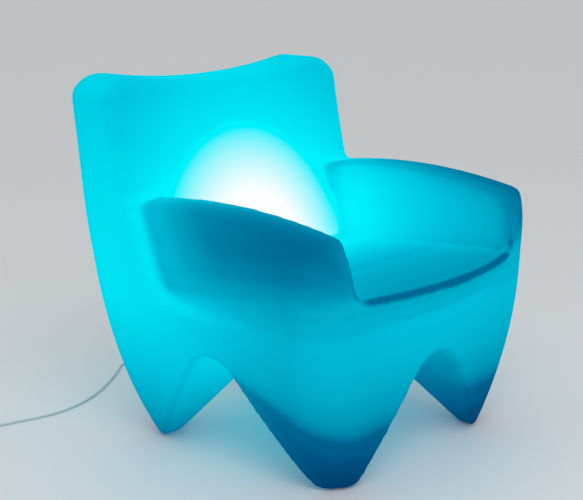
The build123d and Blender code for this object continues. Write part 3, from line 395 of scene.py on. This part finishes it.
def spread(values, edges, passes):
    """Averages each vertex with its neighbours."""
    counts = np.bincount(edges.ravel(), minlength=len(values)).clip(min=1)
    for _ in range(passes):
        total = np.bincount(edges[:, 0], values[edges[:, 1]], len(values))
        total += np.bincount(edges[:, 1], values[edges[:, 0]], len(values))
        values = (values + total / counts) / 2
    return values


def mesh_arrays(mesh):
    """Places, normals, areas and edges of a mesh: a corner has a third of the area of its triangles."""
    count = len(mesh.vertices)
    places, normals = np.zeros(count * 3), np.zeros(count * 3)
    mesh.vertices.foreach_get("co", places)
    mesh.vertices.foreach_get("normal", normals)
    edges = np.zeros(len(mesh.edges) * 2, int)
    mesh.edges.foreach_get("vertices", edges)
    mesh.calc_loop_triangles()
    corners = np.zeros(len(mesh.loop_triangles) * 3, int)
    mesh.loop_triangles.foreach_get("vertices", corners)
    corners, places = corners.reshape(-1, 3), places.reshape(-1, 3)
    triangles = places[corners]
    crossed = np.cross(triangles[:, 1] - triangles[:, 0], triangles[:, 2] - triangles[:, 0])
    triangle_areas = np.linalg.norm(crossed, axis=1) / 2
    areas = np.bincount(corners.ravel(), np.repeat(triangle_areas / 3, 3), count)
    return places, normals.reshape(-1, 3), areas, edges.reshape(-1, 2)


def edge_heights(places, normals, edges):
    """How far each vertex stands out from its neighbours, in voxels: 0 on flat walls, more on outer edges."""
    counts = np.bincount(edges.ravel(), minlength=len(places)).clip(min=1)
    offsets = places[edges[:, 1]] - places[edges[:, 0]]
    heights = -np.bincount(edges[:, 0], np.einsum("ij,ij->i", offsets, normals[edges[:, 0]]), len(places))
    heights += np.bincount(edges[:, 1], np.einsum("ij,ij->i", offsets, normals[edges[:, 1]]), len(places))
    return spread(heights / counts / VOXEL, edges, EDGE_SMOOTHING).clip(min=0)


def share_left_at_edges(places, normals, edges):
    """Share of the glow that each vertex keeps: less on outer edges, least along the seat's front edge."""
    heights = edge_heights(places, normals, edges)
    x, y, z = places.T
    near_seat = (np.abs(x) < SEAT_EDGE_SIDE) & (y < 0) & (z > LEG_HEIGHT) & (z < SEAT_EDGE_TOP)
    near_seat = spread(near_seat.astype(float), edges, SEAT_EDGE_SMOOTHING)
    seat_line = (heights / SEAT_EDGE_FULL).clip(max=1) ** SEAT_EDGE_POWER
    left = 1 - EDGE_DARKENING * (heights / EDGE_FULL).clip(max=1) ** 2
    return left * (1 - SEAT_EDGE_DARKENING * near_seat * seat_line)


def lamp_disc(places, normals):
    """Share of the lamp's disc at each vertex, 1 in its middle and 0 outside it."""
    x, y, z = places.T
    level = (1 - np.hypot(x - DISC_X, z - DISC_Z) / DISC_RADIUS).clip(min=0)
    front = ((-normals[:, 1] - DISC_LEAST_TURN) / DISC_TURN_RANGE).clip(0, 1)
    return level * front * ((np.abs(x) < DISC_SIDE) & (y > DISC_FRONT_Y) & (z > DISC_LOW))


def light_terms(mesh):
    """Direct light, share of the bulb seen, bounced light and light on the outside, for each vertex."""
    places, normals, areas, edges = mesh_arrays(mesh)
    faces = [tuple(face.vertices) for face in mesh.polygons]
    tree = BVHTree.FromPolygons([vertex.co for vertex in mesh.vertices], faces)
    direct, seen = sampled_light(tree, places, normals, edges)
    found = bounced_light(tree, places, normals, areas)
    bounced, outside, known = [spread(values, edges, BOUNCE_SMOOTHING) for values in found]
    known = known.clip(min=LEAST_KNOWN)
    return direct, seen, bounced / known, outside / known


def paint_glow(skin):
    """Writes the glow of each vertex: 0 to 1 is display brightness in cyan, 1 to 2 goes on to white."""
    places, normals, _, edges = mesh_arrays(skin.data)
    direct, seen, bounced, outside = light_terms(skin.data)
    height = places[:, 2]
    light = DARK_LEVEL + DIRECT_GAIN * direct / (1 + direct / DIRECT_FULL)
    light += BOUNCE_GAIN * bounced + OUTSIDE_GAIN * outside
    light *= LEG_END + (1 - LEG_END) * (height / LEG_HEIGHT).clip(0, 1)
    glow = light.clip(min=0) ** GLOW_POWER
    glow += SHADOW_EDGE * (seen - spread(seen, edges, SHADOW_SPREAD)) * (height > LEG_HEIGHT)
    glow *= share_left_at_edges(places, normals, edges)
    glow = glow.clip(DARKEST_GLOW, BRIGHTEST_CYAN)
    disc = lamp_disc(places, normals)
    glow = spread(np.where(disc > 0, 1 + disc, glow), edges, 1)
    attribute = skin.data.attributes.new("glow", "FLOAT", "POINT")
    attribute.data.foreach_set("value", glow)


def node_material(name):
    material = bpy.data.materials.new(name)
    material.use_nodes = True
    tree = material.node_tree
    return material, tree.nodes, tree.links, tree.nodes["Principled BSDF"]


def ramp_of(nodes, stops):
    ramp = nodes.new("ShaderNodeValToRGB")
    ramp.color_ramp.interpolation = "LINEAR"
    elements = ramp.color_ramp.elements
    for position, colour in stops[1:-1]:
        elements.new(position).color = (*colour, 1)
    elements[0].position, elements[0].color = stops[0][0], (*stops[0][1], 1)
    elements[-1].position, elements[-1].color = stops[-1][0], (*stops[-1][1], 1)
    return ramp


def linear(channel):
    """A display value from 0 to 1 as a scene-linear one."""
    return channel / 12.92 if channel <= 0.04045 else ((channel + 0.055) / 1.055) ** 2.4


def cyan(level):
    """Colour of the moulding at this brightness: its blue leads its green, and there is no red."""
    blue = max(level ** BLUE_DARK_POWER, 1 - (1 - level) ** BLUE_BRIGHT_POWER)
    return 0, linear(level), linear(blue)


def glow_stops():
    """Colour stops for half the glow value: cyan up to the edge of the lamp's disc, then on to white."""
    step = (CYAN_TOP - DARKEST_GLOW) / (CYAN_STOPS - 1)
    levels = [DARKEST_GLOW + step * index for index in range(CYAN_STOPS)]
    stops = [(level / 2, cyan(level)) for level in levels]
    return stops + [((1 + DISC_START) / 2, cyan(CYAN_TOP)), ((1 + DISC_WHITE) / 2, (1, 1, 1))]


def shell_material():
    """Translucent moulding lit from inside: the glow value picks the colour."""
    material, nodes, links, shader = node_material("glowing_shell")
    glow = nodes.new("ShaderNodeAttribute")
    glow.attribute_name = "glow"
    half = nodes.new("ShaderNodeMath")
    half.operation = "MULTIPLY"
    half.inputs[1].default_value = 0.5
    links.new(glow.outputs["Fac"], half.inputs[0])
    ramp = ramp_of(nodes, glow_stops())
    links.new(half.outputs[0], ramp.inputs["Fac"])
    links.new(ramp.outputs["Color"], shader.inputs["Emission Color"])
    shader.inputs["Emission Strength"].default_value = EMISSION_SHARE
    base = nodes.new("ShaderNodeMix")
    base.data_type = "RGBA"
    base.inputs[0].default_value = BASE_SHARE
    base.inputs[6].default_value = (0, 0, 0, 1)
    links.new(ramp.outputs["Color"], base.inputs[7])
    links.new(base.outputs[2], shader.inputs["Base Color"])
    shader.inputs["Roughness"].default_value = SHELL_ROUGHNESS
    shader.inputs["Specular IOR Level"].default_value = 0
    return material


def grained_material(name, colour, roughness, metallic=0.0, glow=0.0):
    """Moulded or metal finish with a little uneven tone and a fine bump."""
    material, nodes, links, shader = node_material(name)
    place = nodes.new("ShaderNodeTexCoord")
    noise = nodes.new("ShaderNodeTexNoise")
    noise.inputs["Scale"].default_value = GRAIN_SCALE
    noise.inputs["Detail"].default_value = GRAIN_DETAIL
    links.new(place.outputs["Object"], noise.inputs["Vector"])
    darker = tuple(channel * GRAIN_DARKER for channel in colour)
    ramp = ramp_of(nodes, [(GRAIN_RANGE[0], darker), (GRAIN_RANGE[1], colour)])
    links.new(noise.outputs["Fac"], ramp.inputs["Fac"])
    links.new(ramp.outputs["Color"], shader.inputs["Base Color"])
    bump = nodes.new("ShaderNodeBump")
    bump.inputs["Strength"].default_value = BUMP_STRENGTH
    bump.inputs["Distance"].default_value = BUMP_HEIGHT
    links.new(noise.outputs["Fac"], bump.inputs["Height"])
    links.new(bump.outputs["Normal"], shader.inputs["Normal"])
    shader.inputs["Roughness"].default_value = roughness
    shader.inputs["Metallic"].default_value = metallic
    if glow:
        links.new(ramp.outputs["Color"], shader.inputs["Emission Color"])
        shader.inputs["Emission Strength"].default_value = glow
    return material


# Each finish: colour, roughness, metallic share, glow, and the nodes that have it
FINISHES = {
    # The service cover's glow is painted light from the bulb behind it, shining through the moulding.
    "cover_moulding": ((0.01, 0.50, 0.66), 0.5, 0, 0.75, ["service_cover"]),
    "seal_rubber": ((0.02, 0.02, 0.022), 0.8, 0, 0, ["cover_gasket", "gland_seal"]),
    "zinc_steel": ((0.55, 0.56, 0.58), 0.3, 1, 0,
                   ["cover_screws", "holder_screws", "switch_screws", "bulb_cap"]),
    "insert_brass": ((0.62, 0.44, 0.18), 0.3, 1, 0, ["threaded_inserts", "switch_contacts"]),
    "contact_copper": ((0.66, 0.40, 0.22), 0.3, 1, 0, ["screw_shell", "centre_contact", "bulb_contact"]),
    "holder_plastic": ((0.80, 0.80, 0.77), 0.4, 0, 0, ["holder_base", "holder_barrel"]),
    "bulb_plastic": ((0.84, 0.84, 0.83), 0.45, 0, 0, ["bulb_body"]),
    "bulb_opal": ((0.90, 0.92, 0.92), 0.4, 0, 0.8, ["bulb_globe"]),
    "board_lacquer": ((0.80, 0.80, 0.74), 0.4, 0, 0, ["led_board"]),
    "gland_nylon": ((0.52, 0.56, 0.57), 0.45, 0, 0, ["gland_body", "gland_locknut", "gland_dome_nut"]),
    "core_insulation": ((0.16, 0.08, 0.04), 0.5, 0, 0, ["lead_cores"]),
    "switch_moulding": ((0.66, 0.72, 0.73), 0.35, 0, 0, ["switch_base", "switch_top"]),
    "rocker_moulding": ((0.56, 0.62, 0.64), 0.3, 0, 0, ["switch_rocker"]),
    "plug_moulding": ((0.66, 0.72, 0.73), 0.35, 0, 0, ["plug_body"]),
    "pin_nickel": ((0.68, 0.68, 0.67), 0.22, 1, 0, ["plug_pins"]),
    "glide_plastic": ((0.30, 0.34, 0.36), 0.55, 0, 0,
                      ["glide_front_left", "glide_front_right", "glide_rear_left", "glide_rear_right"]),
}


def dress(names, material):
    for name in names:
        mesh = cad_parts[name].data
        mesh.materials.clear()
        mesh.materials.append(material)


def dress_nodes(leads):
    sheath = grained_material("lead_sheath", (0.50, 0.60, 0.62), 0.42)
    for lead in leads:
        lead.data.materials.append(sheath)
    dress(["inner_lead", "cord_sleeve"], sheath)
    for name, (colour, roughness, metallic, glow, nodes) in FINISHES.items():
        dress(nodes, grained_material(name, colour, roughness, metallic, glow))


def add_shell():
    skin = outer_skin(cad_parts["body_shell"])
    soften(skin)
    paint_glow(skin)
    skin.data.materials.clear()
    skin.data.materials.append(shell_material())
    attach(skin, "chair")
    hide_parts("body_shell")


def add_floor():
    bpy.ops.mesh.primitive_plane_add(size=FLOOR_SIZE, location=(0, 0, 0))
    floor = bpy.context.object
    floor.name = "floor"
    material, _, _, shader = node_material("floor")
    shader.inputs["Base Color"].default_value = (*FLOOR_COLOUR, 1)
    shader.inputs["Roughness"].default_value = FLOOR_ROUGHNESS
    floor.data.materials.append(material)


def add_light():
    world = bpy.data.worlds.new("world")
    world.use_nodes = True
    background = world.node_tree.nodes["Background"]
    background.inputs["Color"].default_value = (*WORLD_COLOUR, 1)
    background.inputs["Strength"].default_value = WORLD_STRENGTH
    bpy.context.scene.world = world
    light = bpy.data.lights.new("key", "AREA")
    light.energy = KEY_WATTS
    light.size = KEY_SIZE
    key = add_object("key", light)
    key.location = KEY_PLACE
    key.rotation_euler = (Vector(KEY_PLACE) - Vector(KEY_TARGET)).to_track_quat("Z", "Y").to_euler()


add_camera()
leads = add_leads()
add_shell()
dress_nodes(leads)
add_floor()
add_light()
bpy.context.scene.view_settings.view_transform = "Standard"
bpy.context.view_layer.update()
